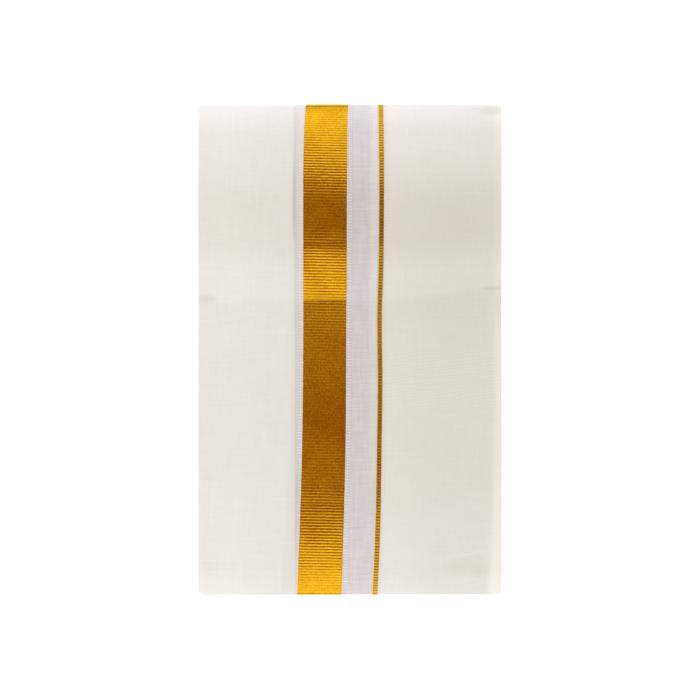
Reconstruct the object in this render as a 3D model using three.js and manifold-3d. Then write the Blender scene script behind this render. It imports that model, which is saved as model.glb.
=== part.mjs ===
// Angavastram: one length of fine handloom cotton with a gold zari border, folded into a flat packet.
// Millimetres, +Z up. The packet lies on z = 0 with its long side along Y, and the border runs along Y
// on its top face. The origin is below the middle of the packet.
//
// The cloth is folded lengthwise into a strip of leaves, then crosswise into six layers. Layer 1 is on
// top. From it the strip goes round the far end (+Y) into layer 3, with the tucked layer 2 between
// them, and round the near end (-Y) into layer 2. Layers 3 to 6 run to and fro below.

import * as THREE from 'three';
import { mergeVertices } from 'three/addons/utils/BufferGeometryUtils.js';
import Module from 'manifold-3d';

// Driving dimensions
const packetWidth = 232;
const packetLength = 375;
const cornerRadius = 3.5; // of the packet's corners, seen from above
const seamGap = 0.3;
const leafWall = 1.0; // the top leaf and the under leaf
const layerWall = 1.3; // one hidden layer, its leaves pressed together
const leafStep = 0.4; // from the top leaf down to the under leaf, beside the selvedge
const selvedgeX = -41.7; // the free long edge of the top leaf
const grooveDepth = 4; // how far the layers stand apart at the packet's edges

// The layers below the top one, from the lowest up: how far each stays inside the packet's long sides
const hiddenLayers = [
  { layer: 6, sideInset: 0.5 },
  { layer: 5, sideInset: 1.1 },
  { layer: 4, sideInset: 0.6 },
  { layer: 3, sideInset: 0.9 },
];
const tuckedLayerInset = 0.7;
// How far each fold's tip, and the cloth's free end, stay inside the packet's ends
const foldInset = { threeToFour: 1.0, fourToFive: 1.2, fiveToSix: 0.5, freeEnd: 2.5 };

// The rise and fall of the packet's top along Y, as a drop below its full height
const farSlope = { from: 137, drop: 1.7 }; // from here to the far end
const crease = { crest: 88, line: 37, recovered: -60, drop: 1.3 }; // the pressed line across the packet
const nearSlope = { from: -127, drop: 1.8 }; // from here to the near end

// The zari band and line
const bandWidth = 33.5;
const bandCentreX = -19.5;
const lineWidth = 3.6;
const lineCentreX = 23.1;
const zariBody = 0.3;
const ribHeight = 0.25;
const ribCount = 170; // between the tips of the two end folds
const bandEndAngle = { far: THREE.MathUtils.degToRad(135), near: THREE.MathUtils.degToRad(130) };
const lowerBand = { from: THREE.MathUtils.degToRad(40), to: THREE.MathUtils.degToRad(140) };

// How far the woven border sways sideways along the packet
const borderSway = [
  { y: -187.5, band: -4.4, line: -4.3 },
  { y: -157, band: -3.3, line: -2.8 },
  { y: -127, band: -2.3, line: -1.8 },
  { y: -73, band: -0.9, line: -0.9 },
  { y: -27, band: -0.4, line: -0.3 },
  { y: 30, band: -0.15, line: -0.6 },
  { y: 60, band: 0, line: 0.3 },
  { y: 104, band: 0, line: 0.8 },
  { y: 150, band: 0.3, line: 0.8 },
  { y: 180, band: 1.0, line: 0.4 },
  { y: 187.5, band: 1.5, line: 0.3 },
];

// Worked out from them
const halfWidth = packetWidth / 2;
const halfLength = packetLength / 2;
const pairWall = 2 * leafWall + seamGap; // the top leaf and the under leaf together
const layerPitch = layerWall + seamGap;
const tuckedFloor = hiddenLayers.length * layerPitch; // the underside of layer 2
const fullHeight = tuckedFloor + 2 * pairWall + seamGap;
const farFold = { radius: (2 * pairWall + layerWall + 2 * seamGap) / 2 };
const nearFold = { radius: pairWall + seamGap / 2 };
farFold.y = halfLength - farFold.radius;
nearFold.y = -halfLength + nearFold.radius;
const topRun = farFold.y - nearFold.y;
const ribPitch = (topRun + (farFold.radius + nearFold.radius) * Math.PI / 2) / ribCount;
const softTop = tuckedFloor - layerPitch - seamGap / 2; // below this the layers are pressed thinner

// Stations along Y that every run shares, so that neighbouring faces bend together
const stationSpans = [
  { to: farSlope.from, steps: 8 },
  { to: crease.crest, steps: 2 },
  { to: crease.line, steps: 7 },
  { to: crease.recovered, steps: 8 },
  { to: nearSlope.from, steps: 2 },
  { to: nearFold.y, steps: 8 },
];
const stationMargin = 0.5; // a run has no station closer than this to its ends
const foldSteps = 10; // along a half turn of the strip
const leafNoseSteps = 6; // round a long side
const layerNoseSteps = 4;
const innerBendSteps = 2;
const lowerBandSteps = 6;
const mergeTolerance = 1e-5;

function sharedStations() {
  const stations = [farFold.y];
  for (const span of stationSpans) {
    const start = stations[stations.length - 1];
    for (let i = 1; i <= span.steps; i++) {
      stations.push(THREE.MathUtils.lerp(start, span.to, i / span.steps));
    }
  }
  return stations;
}

// The stations from one Y to another, in that order, with both ends
function stationsBetween(start, end) {
  const low = Math.min(start, end);
  const high = Math.max(start, end);
  const inner = sharedStations().filter((y) => y > low + stationMargin && y < high - stationMargin);
  if (start < end) inner.reverse();
  return [start, ...inner, end];
}

// A slope that starts level at one Y and is steepest at another
const bentDown = (y, level, steepest) => Math.min(1, (y - level) / (steepest - level)) ** 2;

function topDrop(y) {
  if (y >= farSlope.from) return farSlope.drop * bentDown(y, farSlope.from, halfLength);
  if (y >= crease.crest) return 0;
  if (y >= crease.line) return crease.drop * bentDown(y, crease.crest, crease.line);
  if (y >= crease.recovered) {
    return crease.drop * THREE.MathUtils.smoothstep(y, crease.recovered, crease.line);
  }
  if (y >= nearSlope.from) return 0;
  return nearSlope.drop * bentDown(y, nearSlope.from, -halfLength);
}

// The upper layers move down whole, and the lower ones are pressed thinner, down to a flat underside
function settle(y, z) {
  const drop = topDrop(y);
  return z > softTop ? z - drop : z * (1 - drop / softTop);
}

// How far a long side draws in towards a corner
function cornerInset(y) {
  const past = THREE.MathUtils.clamp(Math.abs(y) - (halfLength - cornerRadius), 0, cornerRadius);
  return cornerRadius - Math.sqrt(cornerRadius ** 2 - past ** 2);
}

const swayOf = {};
for (const column of ['band', 'line']) {
  const sway = new THREE.CubicInterpolant(
    borderSway.map((row) => row.y),
    borderSway.map((row) => row[column]),
    1,
    [0],
  );
  swayOf[column] = (y) => sway.evaluate(THREE.MathUtils.clamp(y, -halfLength, halfLength))[0];
}

// A place on the outer face of layer 1 and its end folds: s is the way along it from the far fold's
// top, and `across` says how a point moves when it goes depth n into the cloth
function outerPlace(s) {
  if (s < 0) {
    const turn = -s / farFold.radius;
    return {
      y: farFold.y + farFold.radius * Math.sin(turn),
      z: fullHeight - farFold.radius * (1 - Math.cos(turn)),
      across: { y: -Math.sin(turn), z: -Math.cos(turn) },
    };
  }
  if (s <= topRun) return { y: farFold.y - s, z: fullHeight, across: { y: 0, z: -1 } };
  const turn = (s - topRun) / nearFold.radius;
  return {
    y: nearFold.y - nearFold.radius * Math.sin(turn),
    z: fullHeight - nearFold.radius * (1 - Math.cos(turn)),
    across: { y: Math.sin(turn), z: -Math.cos(turn) },
  };
}

// Places along the outer face, from one fold's turn angle to the other's
function outerPlaces(farAngle, nearAngle) {
  const farArc = farFold.radius * farAngle;
  const nearArc = nearFold.radius * nearAngle;
  const ways = [];
  for (let i = 0; i < foldSteps; i++) ways.push(-farArc * (1 - i / foldSteps));
  for (const y of sharedStations()) ways.push(farFold.y - y);
  for (let i = 1; i <= foldSteps; i++) ways.push(topRun + (nearArc * i) / foldSteps);
  return ways.map(outerPlace);
}

// A closed solid swept along places: outlineAt gives each place's outline as [x, depth] corners
function sweptSolid(places, outlineAt) {
  const positions = [];
  const rings = places.map((place) => outlineAt(place));
  places.forEach((place, i) => {
    for (const [x, depth] of rings[i]) {
      positions.push(x, place.y + place.across.y * depth, place.z + place.across.z * depth);
    }
  });
  const count = rings[0].length;
  const faces = [];
  for (let i = 0; i + 1 < places.length; i++) {
    for (let j = 0; j < count; j++) {
      const a = i * count + j;
      const b = i * count + ((j + 1) % count);
      faces.push([a, b, b + count], [a, b + count, a + count]);
    }
  }
  const last = (places.length - 1) * count;
  const firstCorners = rings[0].map(([x, depth]) => new THREE.Vector2(x, depth));
  const lastCorners = rings[rings.length - 1].map(([x, depth]) => new THREE.Vector2(x, depth));
  const clockwise = THREE.ShapeUtils.isClockWise(firstCorners);
  for (const [a, b, c] of THREE.ShapeUtils.triangulateShape(firstCorners, [])) {
    faces.push(clockwise ? [a, b, c] : [a, c, b]);
  }
  for (const [a, b, c] of THREE.ShapeUtils.triangulateShape(lastCorners, [])) {
    faces.push(clockwise ? [last + a, last + c, last + b] : [last + a, last + b, last + c]);
  }
  return facingOut(positions, faces);
}

// Turns a closed mesh the right way out by the sign of its volume
function facingOut(positions, faces) {
  const corner = (i) => new THREE.Vector3(...positions.slice(3 * i, 3 * i + 3));
  let volume = 0;
  for (const [a, b, c] of faces) volume += corner(a).dot(corner(b).cross(corner(c)));
  const geometry = new THREE.BufferGeometry();
  geometry.setAttribute('position', new THREE.Float32BufferAttribute(positions, 3));
  geometry.setIndex(faces.flatMap(([a, b, c]) => (volume > 0 ? [a, b, c] : [a, c, b])));
  return geometry;
}

function settled(geometry) {
  const position = geometry.getAttribute('position');
  for (let i = 0; i < position.count; i++) position.setZ(i, settle(position.getY(i), position.getZ(i)));
  geometry.computeVertexNormals();
  return geometry;
}

// An arc of an outline as [x, depth] corners: side is 1 for a fold on the right, -1 on the left
function noseArc(x, topDepth, wall, side, steps) {
  const radius = wall / 2;
  const corners = [];
  for (let i = 0; i <= steps; i++) {
    const turn = (Math.PI * i) / steps;
    corners.push([x - side * radius * (1 - Math.sin(turn)), topDepth + radius * (1 - Math.cos(turn))]);
  }
  return corners;
}

// The top leaf: a wall from the selvedge to the right side, where it turns back under itself
function topLeafOutline(place) {
  const rightX = halfWidth - cornerInset(place.y);
  const bendX = rightX - pairWall / 2;
  const innerBend = noseArc(bendX + seamGap / 2, leafWall, seamGap, 1, innerBendSteps).reverse();
  return [
    [selvedgeX, 0],
    ...noseArc(rightX, 0, pairWall, 1, leafNoseSteps),
    ...innerBend,
    [selvedgeX, leafWall],
  ];
}

// The under leaf: below the top leaf up to the selvedge, then a little higher to the rounded left side
function underLeafOutline(place) {
  const leftX = -halfWidth + cornerInset(place.y);
  const startX = halfWidth - cornerInset(place.y) - pairWall / 2 - seamGap;
  const stepX = selvedgeX - seamGap;
  return [
    [startX, pairWall - leafWall],
    [stepX, pairWall - leafWall],
    [stepX, leafStep],
    ...noseArc(leftX, leafStep, pairWall - leafStep, -1, leafNoseSteps),
    [startX, pairWall],
  ];
}

// A strip that lies a seam gap above the outer face, as wide as the woven stripe below it
function stripOutline(place, centreX, width, column, rise) {
  const centre = centreX + swayOf[column](place.y);
  const foot = -seamGap;
  return [
    [centre - width / 2, foot - rise],
    [centre + width / 2, foot - rise],
    [centre + width / 2, foot],
    [centre - width / 2, foot],
  ];
}

// The ribbed band: its outer face rises and falls once for each rib, and its inside is plain
function zariBand() {
  const halfPitch = ribPitch / 2;
  const farTip = (-farFold.radius * Math.PI) / 2;
  const beyondFarTip = farFold.radius * (bandEndAngle.far - Math.PI / 2);
  const beyondNearTip = nearFold.radius * (bandEndAngle.near - Math.PI / 2);
  const first = -Math.floor(beyondFarTip / halfPitch);
  const last = 2 * ribCount + Math.floor(beyondNearTip / halfPitch);
  const places = [];
  for (let i = first; i <= last; i++) {
    const rise = i % 2 === 0 ? zariBody + ribHeight : zariBody;
    places.push({ ...outerPlace(farTip + i * halfPitch), rise });
  }
  const outlineAt = (place) => stripOutline(place, bandCentreX, bandWidth, 'band', place.rise);
  return settled(sweptSolid(places, outlineAt));
}

function zariLine() {
  const rise = zariBody + ribHeight / 2;
  const places = outerPlaces(bandEndAngle.far, bandEndAngle.near);
  return settled(sweptSolid(places, (place) => stripOutline(place, lineCentreX, lineWidth, 'line', rise)));
}

// The underside height of a hidden layer, counted from the lowest
const layerFloor = (index) => index * layerPitch;

// The fold between layers 4 and 5, where the border comes to the outside again
const lowerFold = {
  radius: (layerWall + layerPitch) / 2,
  y: halfLength - foldInset.fourToFive - (layerWall + layerPitch) / 2,
  z: layerFloor(1) + (layerWall + layerPitch) / 2,
};

function lowerZari(centreX, width, column) {
  const places = [];
  for (let i = 0; i <= lowerBandSteps; i++) {
    const turn = THREE.MathUtils.lerp(lowerBand.from, lowerBand.to, i / lowerBandSteps);
    const across = { y: -Math.sin(turn), z: -Math.cos(turn) };
    places.push({
      y: lowerFold.y - lowerFold.radius * across.y,
      z: lowerFold.z - lowerFold.radius * across.z,
      across,
    });
  }
  const outlineAt = (place) => stripOutline(place, centreX, width, column, zariBody);
  return settled(sweptSolid(places, outlineAt));
}

// A run of cloth with rounded long sides: the outline around the middle of its thickness
function layerOutline(place, wall, sideInset) {
  const x = halfWidth - sideInset - cornerInset(place.y);
  const right = noseArc(x, -wall / 2, wall, 1, layerNoseSteps);
  const left = noseArc(-x, -wall / 2, wall, -1, layerNoseSteps);
  return [...right, ...left.reverse()];
}

// Layers 3 to 6 as one belt that runs to and fro, each fold a half turn about its own middle
function layerBelt() {
  const middle = (index) => layerFloor(index) + layerWall / 2;
  const insetOf = (index) => hiddenLayers[index].sideInset;
  const places = [];
  const run = (index, startY, endY) => {
    const across = { y: 0, z: startY > endY ? -1 : 1 };
    for (const y of stationsBetween(startY, endY)) {
      places.push({ y, z: middle(index), across, inset: insetOf(index) });
    }
  };
  const fold = (upper, centreY, end) => {
    for (let i = 1; i < foldSteps; i++) {
      const turn = (Math.PI * i) / foldSteps;
      places.push({
        y: centreY + end * (layerPitch / 2) * Math.sin(turn),
        z: middle(upper) - (layerPitch / 2) * (1 - Math.cos(turn)),
        across: { y: Math.sin(turn), z: end * Math.cos(turn) },
        inset: THREE.MathUtils.lerp(insetOf(upper), insetOf(upper - 1), i / foldSteps),
      });
    }
  };
  const threeToFourY = -halfLength + foldInset.threeToFour + lowerFold.radius;
  const fourToFiveY = lowerFold.y;
  const fiveToSixY = -halfLength + foldInset.fiveToSix + lowerFold.radius;
  run(3, farFold.y - seamGap, threeToFourY);
  fold(3, threeToFourY, -1);
  run(2, threeToFourY, fourToFiveY);
  fold(2, fourToFiveY, 1);
  run(1, fourToFiveY, fiveToSixY);
  fold(1, fiveToSixY, -1);
  run(0, fiveToSixY, halfLength - foldInset.freeEnd);
  return sweptSolid(places, (place) => layerOutline(place, layerWall, place.inset));
}

// Layer 2, tucked in between layers 1 and 3
function tuckedLayer() {
  const z = tuckedFloor + pairWall / 2;
  const places = stationsBetween(farFold.y - seamGap, nearFold.y + seamGap)
    .map((y) => ({ y, z, across: { y: 0, z: -1 } }));
  return sweptSolid(places, (place) => layerOutline(place, pairWall, tuckedLayerInset));
}

// The middle of the packet, where the hidden layers lie pressed together
function pressedMiddle() {
  const bottom = layerWall / 2;
  const top = tuckedFloor + pairWall / 2;
  const width = packetWidth - 2 * grooveDepth;
  const length = packetLength - 2 * grooveDepth;
  return new THREE.BoxGeometry(width, length, top - bottom).translate(0, 0, (bottom + top) / 2);
}

const wasm = await Module();
wasm.setup();

function toManifold(geometry) {
  const bare = geometry.clone();
  bare.deleteAttribute('normal');
  bare.deleteAttribute('uv');
  const merged = mergeVertices(bare, mergeTolerance);
  const mesh = new wasm.Mesh({
    numProp: 3,
    vertProperties: new Float32Array(merged.getAttribute('position').array),
    triVerts: new Uint32Array(merged.getIndex().array),
  });
  return new wasm.Manifold(mesh);
}

function foldedLayers() {
  const joined = toManifold(layerBelt()).add(toManifold(tuckedLayer())).add(toManifold(pressedMiddle()));
  const mesh = joined.getMesh();
  const geometry = new THREE.BufferGeometry();
  geometry.setAttribute('position', new THREE.Float32BufferAttribute(mesh.vertProperties, 3));
  geometry.setIndex([...mesh.triVerts]);
  return settled(geometry);
}

const cotton = { color: 0xe6e1d8, roughness: 0.9, metalness: 0 };
const gold = { color: 0xb98218, roughness: 0.42, metalness: 0.85 };

function pieceOf(name, geometry, finish) {
  const mesh = new THREE.Mesh(geometry, new THREE.MeshStandardMaterial(finish));
  mesh.name = name;
  return mesh;
}

const bothHalfTurns = outerPlaces(Math.PI, Math.PI);
const angavastram = new THREE.Group();
angavastram.add(
  pieceOf('top_leaf', settled(sweptSolid(bothHalfTurns, topLeafOutline)), cotton),
  pieceOf('under_leaf', settled(sweptSolid(bothHalfTurns, underLeafOutline)), cotton),
  pieceOf('folded_layers', foldedLayers(), cotton),
  pieceOf('zari_band', zariBand(), gold),
  pieceOf('zari_line', zariLine(), gold),
  pieceOf('zari_band_lower', lowerZari(bandCentreX, bandWidth, 'band'), gold),
  pieceOf('zari_line_lower', lowerZari(lineCentreX, lineWidth, 'line'), gold),
);

export default angavastram;
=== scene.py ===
import math
import bpy
import numpy as np
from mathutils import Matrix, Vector


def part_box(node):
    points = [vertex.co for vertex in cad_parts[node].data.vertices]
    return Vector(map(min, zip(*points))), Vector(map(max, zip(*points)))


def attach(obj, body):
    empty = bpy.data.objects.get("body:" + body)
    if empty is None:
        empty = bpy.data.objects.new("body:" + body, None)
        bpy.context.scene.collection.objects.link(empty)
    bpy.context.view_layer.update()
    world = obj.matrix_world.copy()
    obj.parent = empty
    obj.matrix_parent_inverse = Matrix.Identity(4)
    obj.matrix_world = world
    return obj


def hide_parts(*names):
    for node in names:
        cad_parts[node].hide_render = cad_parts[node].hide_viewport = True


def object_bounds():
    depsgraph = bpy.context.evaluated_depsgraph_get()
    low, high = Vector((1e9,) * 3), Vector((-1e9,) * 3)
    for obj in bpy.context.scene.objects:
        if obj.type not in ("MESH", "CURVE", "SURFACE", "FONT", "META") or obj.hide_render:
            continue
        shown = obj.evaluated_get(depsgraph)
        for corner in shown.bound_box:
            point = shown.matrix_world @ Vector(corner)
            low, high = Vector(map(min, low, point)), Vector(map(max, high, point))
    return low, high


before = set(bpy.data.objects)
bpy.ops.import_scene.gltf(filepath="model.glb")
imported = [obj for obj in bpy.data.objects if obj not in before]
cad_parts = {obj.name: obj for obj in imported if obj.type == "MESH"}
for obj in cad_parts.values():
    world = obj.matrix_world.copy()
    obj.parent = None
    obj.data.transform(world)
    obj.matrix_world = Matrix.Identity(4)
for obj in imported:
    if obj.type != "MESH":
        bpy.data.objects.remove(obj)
cadLow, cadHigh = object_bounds()
scene = bpy.context.scene
print("frame loaded:", sorted(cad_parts))


def inScene(name, data):
    item = bpy.data.objects.new(name, data)
    scene.collection.objects.link(item)
    return item


# node trees: a Signal is one output of a node, and sums and products of Signals make the nodes for them

class Signal:
    def __init__(self, tree, socket):
        self.tree, self.socket = tree, socket

    def out(self, label):
        return Signal(self.tree, self.socket.node.outputs[label])

    def __add__(self, other):
        return calc("ADD", self, other)

    def __sub__(self, other):
        return calc("SUBTRACT", self, other)

    def __rsub__(self, other):
        return calc("SUBTRACT", other, self)

    def __mul__(self, other):
        return calc("MULTIPLY", self, other)

    def __truediv__(self, other):
        return calc("DIVIDE", self, other)

    __radd__, __rmul__ = __add__, __mul__

    def ramp(self, low, high, toLow=0.0, toHigh=1.0, kind="SMOOTHSTEP"):
        values = {"Value": self, "From Min": low, "From Max": high, "To Min": toLow, "To Max": toHigh}
        return add(self.tree, "ShaderNodeMapRange", values, interpolation_type=kind)


def feed(tree, socket, value):
    # a Signal is wired in, and anything else becomes the socket's own value
    if isinstance(value, Signal):
        tree.links.new(value.socket, socket)
    else:
        socket.default_value = (*value, 1) if socket.type == "RGBA" else value


def feedAll(tree, sockets, values):
    for label, value in dict(values).items():
        feed(tree, sockets[label], value)


def add(tree, kind, values=(), out=0, **settings):
    node = tree.nodes.new(kind)
    for name, value in settings.items():
        setattr(node, name, value)
    feedAll(tree, node.inputs, values)
    return Signal(tree, node.outputs[out])


def treeOf(*values):
    return next(value.tree for value in values if isinstance(value, Signal))


def calc(operation, *values, kind="ShaderNodeMath"):
    return add(treeOf(*values), kind, enumerate(values), operation=operation)


def parts(vector):
    split = add(vector.tree, "ShaderNodeSeparateXYZ", {0: vector})
    return [split.out(axis) for axis in "XYZ"]


def combined(tree, x=0.0, y=0.0, z=0.0):
    return add(tree, "ShaderNodeCombineXYZ", {0: x, 1: y, 2: z})


def noise(vector, detail=2.0, roughness=0.5):
    values = {"Vector": vector, "Scale": 1.0, "Detail": detail, "Roughness": roughness}
    return add(vector.tree, "ShaderNodeTexNoise", values)


def mix(factor, a, b, blend="MIX"):
    values = {0: factor, 6: a, 7: b}
    return add(treeOf(factor, a, b), "ShaderNodeMix", values, 2, data_type="RGBA", blend_type=blend)


socketKinds = {float: "NodeSocketFloat", int: "NodeSocketInt", tuple: "NodeSocketVector",
               type(None): "NodeSocketMaterial"}


def newTree(name, kind, inputs, outputs):
    tree = bpy.data.node_groups.new(name, kind)
    for label, socketKind in outputs.items():
        tree.interface.new_socket(label, in_out="OUTPUT", socket_type=socketKind)
    for label, value in inputs.items():
        socket = tree.interface.new_socket(label, in_out="INPUT", socket_type=socketKinds[type(value)])
        if value is not None:
            socket.default_value = value
    given = tree.nodes.new("NodeGroupInput").outputs
    out = tree.nodes.new("NodeGroupOutput").inputs
    return tree, {label: Signal(tree, given[label]) for label in inputs}, out


# camera, floor and light

stageLook = {
    "frameWidth": 0.5355,  # what the picture spans at the packet's top
    "lens": 135.0,
    "sensor": 36.0,
    "aimX": 0.0001,
    "aimY": -0.00027,
    "clipEnd": 50.0,
    "floorSize": 9.0,
    "floorDrop": 0.0002,
    "floorColour": (0.93, 0.93, 0.93),
    "floorRoughness": 0.95,
    "floorGloss": 0.1,
    "floorGlow": 0.35,
    "roomColour": (0.50, 0.495, 0.485),
    "mirroredRoom": (0.266, 0.100, 0.026),  # the dim warm gap that gloss sees between the softboxes
    "white": (1, 1, 1),
}
softboxes = {  # one past each end, from beside the camera down to a low edge, with a dim gap between them
    "radiance": 0.85, "colour": (1.0, 0.99, 0.975), "x": -0.10, "width": 2.6,
    "innerZ": 2.10, "outerY": 1.60, "outerZ": 0.45,
    "sides": (("farBox", 1, 0.380), ("nearBox", -1, 0.340)),  # the name, the side and the inner edge's y
}


def addCamera(look):
    data = bpy.data.cameras.new("overheadCamera")
    data.lens = look["lens"]
    data.sensor_width = look["sensor"]
    data.clip_end = look["clipEnd"]
    camera = inScene("overheadCamera", data)
    height = look["frameWidth"] * look["lens"] / look["sensor"]
    camera.location = (look["aimX"], look["aimY"], cadHigh.z + height)
    scene.camera = camera


def addSoftbox(box, name, side, innerY):
    inner = Vector((box["x"], side * innerY, box["innerZ"]))
    outer = Vector((box["x"], side * box["outerY"], box["outerZ"]))
    slope = outer - inner
    data = bpy.data.lights.new(name, "AREA")
    data.shape = "RECTANGLE"
    data.size = box["width"]
    data.size_y = slope.length
    data.energy = box["radiance"] * math.pi * data.size * data.size_y
    data.color = box["colour"]
    light = inScene(name, data)
    light.location = (inner + outer) / 2
    outward = Vector((0, -slope.z, slope.y)) * side  # a softbox shines along its own -Z
    light.rotation_mode = "QUATERNION"
    light.rotation_quaternion = outward.to_track_quat("Z", "Y")
    light.visible_camera = False


def addFloor(look):
    half, z = look["floorSize"] / 2, -look["floorDrop"]
    mesh = bpy.data.meshes.new("floor")
    corners = [(-half, -half, z), (half, -half, z), (half, half, z), (-half, half, z)]
    mesh.from_pydata(corners, [], [(0, 1, 2, 3)])
    material = bpy.data.materials.new("paleFloor")
    material.use_nodes = True
    feedAll(material.node_tree, material.node_tree.nodes["Principled BSDF"].inputs, {
        "Base Color": look["floorColour"], "Roughness": look["floorRoughness"],
        "Specular IOR Level": look["floorGloss"], "Emission Color": look["white"],
        "Emission Strength": look["floorGlow"],
    })
    mesh.materials.append(material)
    inScene("floor", mesh)


def addRoom(look):
    room = bpy.data.worlds.new("room")
    room.use_nodes = True
    tree = room.node_tree
    rays = add(tree, "ShaderNodeLightPath")
    mirrored = mix(rays.out("Is Glossy Ray"), look["roomColour"], look["mirroredRoom"])
    seen = mix(rays.out("Is Camera Ray"), mirrored, look["white"])
    feed(tree, tree.nodes["Background"].inputs["Color"], seen)
    scene.world = room
    scene.view_settings.view_transform = "Standard"


addCamera(stageLook)
for name, side, innerY in softboxes["sides"]:
    addSoftbox(softboxes, name, side, innerY)
addFloor(stageLook)
addRoom(stageLook)
print("stage set")


# the way the cloth is folded

leafLow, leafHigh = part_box("top_leaf")

packet = {
    "halfWidth": leafHigh.x,
    "halfLength": leafHigh.y,
    "height": leafHigh.z,
    "selvedge": leafLow.x,
    "cornerRadius": 0.0035,
    "farRadius": 0.00325,  # of the fold that wraps layers 1 to 3
    "nearRadius": 0.00245,  # of the fold between layers 1 and 2
    "pairWall": 0.0023,
    "layerWall": 0.0013,
    "seamGap": 0.0003,
    "softTop": 0.00465,
}
topRise = {
    "farFrom": 0.122, "farDrop": 0.0021, "farPower": 1.7,
    "crest": 0.090, "crease": 0.037, "recovered": -0.060, "creaseDrop": 0.0022, "creasePower": 1.5,
    "nearFrom": -0.130, "nearDrop": 0.0013, "nearPower": 2.0,
    "creaseTilt": 0.009, "tiltFrom": 0.010, "tiltTo": 0.105,  # the crease climbs towards the right side
}
borderSway = {
    "y": (-0.1875, -0.157, -0.127, -0.073, -0.027, 0.030, 0.060, 0.104, 0.150, 0.180, 0.1875),
    "band": (-0.0044, -0.0033, -0.0023, -0.0009, -0.0004, -0.00015, 0.0, 0.0, 0.0003, 0.0010, 0.0015),
    "line": (-0.0043, -0.0028, -0.0018, -0.0009, -0.0003, -0.0006, 0.0003, 0.0008, 0.0008, 0.0004, 0.0003),
}

endBulge = {  # how far the two end folds puff out past the packet, across its width
    "x": (-0.116, -0.095, -0.070, -0.0445, -0.0395, -0.010, 0.020, 0.060, 0.095, 0.116),
    "far": (0.00068, 0.00054, 0.00060, 0.00052, 0.00030, 0.00034, 0.00030, 0.00042, 0.00034, 0.00046),
    "near": (0.00112, 0.00094, 0.00104, 0.00090, 0.00030, 0.00026, 0.00024, 0.00032, 0.00022, 0.00034),
}

farY = packet["halfLength"] - packet["farRadius"]
nearY = -packet["halfLength"] + packet["nearRadius"]
topRun = farY - nearY
creaseWay = farY - topRise["crease"]


def smooth(value, low, high):
    t = np.clip((value - low) / (high - low), 0, 1)
    return t * t * (3 - 2 * t)


def through(value, knots, heights):
    # a smooth curve through a short table
    knots, heights = np.array(knots), np.array(heights)
    slopes = np.gradient(heights, knots)
    value = np.clip(value, knots[0], knots[-1])
    i = np.clip(np.searchsorted(knots, value) - 1, 0, len(knots) - 2)
    span = knots[i + 1] - knots[i]
    t = (value - knots[i]) / span
    return (heights[i] * (1 + 2 * t) * (1 - t) ** 2 + slopes[i] * span * t * (1 - t) ** 2
            + heights[i + 1] * t * t * (3 - 2 * t) - slopes[i + 1] * span * t * t * (1 - t))


def swayOf(column, y):
    return through(y, borderSway["y"], borderSway[column])


def topDrop(x, y):
    rise = topRise
    lift = rise["creaseTilt"] * smooth(x, rise["tiltFrom"], rise["tiltTo"])
    aboveCrease = smooth(y, rise["recovered"], rise["crease"])
    y = y - lift * aboveCrease * (1 - smooth(y, rise["crest"], rise["farFrom"]))
    half = packet["halfLength"]
    farShare = np.clip((y - rise["farFrom"]) / (half - rise["farFrom"]), 0, 1)
    nearShare = np.clip((rise["nearFrom"] - y) / (half + rise["nearFrom"]), 0, 1)
    creaseShare = np.clip((rise["crest"] - y) / (rise["crest"] - rise["crease"]), 0, 1)
    far = rise["farDrop"] * farShare ** rise["farPower"]
    near = rise["nearDrop"] * nearShare ** rise["nearPower"]
    ramp = creaseShare ** rise["creasePower"]
    recovery = smooth(y, rise["recovered"], rise["crease"])
    return far + near + rise["creaseDrop"] * np.where(y >= rise["crease"], ramp, recovery)


# soft creases on the top, as laid by hand: where each starts and ends, how wide and how high it is
softCreases = (
    ((0.062, -0.1652), (0.112, -0.1556), 0.0016, 0.00032),
    ((0.060, -0.1690), (0.112, -0.1598), 0.0022, -0.00034),
    ((0.072, -0.1740), (0.110, -0.1705), 0.0014, 0.00016),
    ((0.070, -0.1768), (0.110, -0.1738), 0.0016, -0.00020),
    ((0.088, 0.1850), (0.116, 0.1830), 0.0024, -0.00040),
    ((-0.116, 0.0400), (-0.100, 0.0385), 0.0030, -0.00050),
    ((0.092, 0.0470), (0.116, 0.0480), 0.0028, -0.00050),
    ((-0.095, 0.0375), (-0.050, 0.0365), 0.0022, -0.00014),
    ((0.030, 0.0375), (0.090, 0.0460), 0.0022, -0.00016),
    ((-0.106, -0.120), (-0.060, -0.1215), 0.0040, 0.00010),
    ((0.035, -0.058), (0.100, -0.048), 0.0050, 0.00010),
    ((0.045, 0.118), (0.108, 0.110), 0.0060, -0.00014),
)
unevenness = {"seed": 11, "waves": 14, "shortest": 0.034, "longest": 0.120, "height": 0.00003}


def creaseHeight(x, y):
    total = np.zeros_like(x)
    for start, end, width, height in softCreases:
        start, along = np.array(start), np.array(end) - np.array(start)
        length = np.linalg.norm(along)
        along /= length
        way = (x - start[0]) * along[0] + (y - start[1]) * along[1]
        off = (y - start[1]) * along[0] - (x - start[0]) * along[1]
        fade = smooth(way, -0.2 * length, 0.2 * length) * (1 - smooth(way, 0.85 * length, 1.15 * length))
        total += height * fade * np.exp(-((off / width) ** 2))
    return total


def unevenHeight(x, y):
    random = np.random.default_rng(unevenness["seed"])
    total = np.zeros_like(x)
    for _ in range(unevenness["waves"]):
        wavelength = random.uniform(unevenness["shortest"], unevenness["longest"])
        heading, phase = random.uniform(0, math.tau, 2)
        turn = math.tau / wavelength
        total += np.sin(turn * (x * np.cos(heading) + y * np.sin(heading)) + phase)
    return total * unevenness["height"]


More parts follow.
